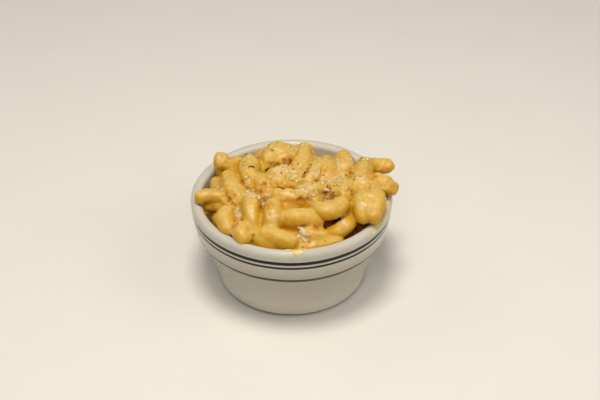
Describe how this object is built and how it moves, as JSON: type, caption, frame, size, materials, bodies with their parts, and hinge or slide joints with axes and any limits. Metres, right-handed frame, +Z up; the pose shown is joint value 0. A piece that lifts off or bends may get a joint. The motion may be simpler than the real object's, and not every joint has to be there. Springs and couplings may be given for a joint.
{
  "type": "bowl of macaroni and cheese",
  "caption": "Macaroni and cheese heaped above the rim of a thick white china bowl with dark green bands.",
  "frame": {"origin": "centre of the flat face that the bowl stands on", "axes": "+Z up along the bowl's axis, -Y towards the side the picture shows, +X to the right"},
  "size_m": [0.1108, 0.109, 0.0672],
  "materials": {
    "china": "glossy white glaze",
    "cheesy_pasta": "cooked pasta in a creamy cheese sauce, soft sheen"
  },
  "bodies": {
    "root": {"bowl": "china", "macaroni": "cheesy_pasta"}
  },
  "joints": []
}
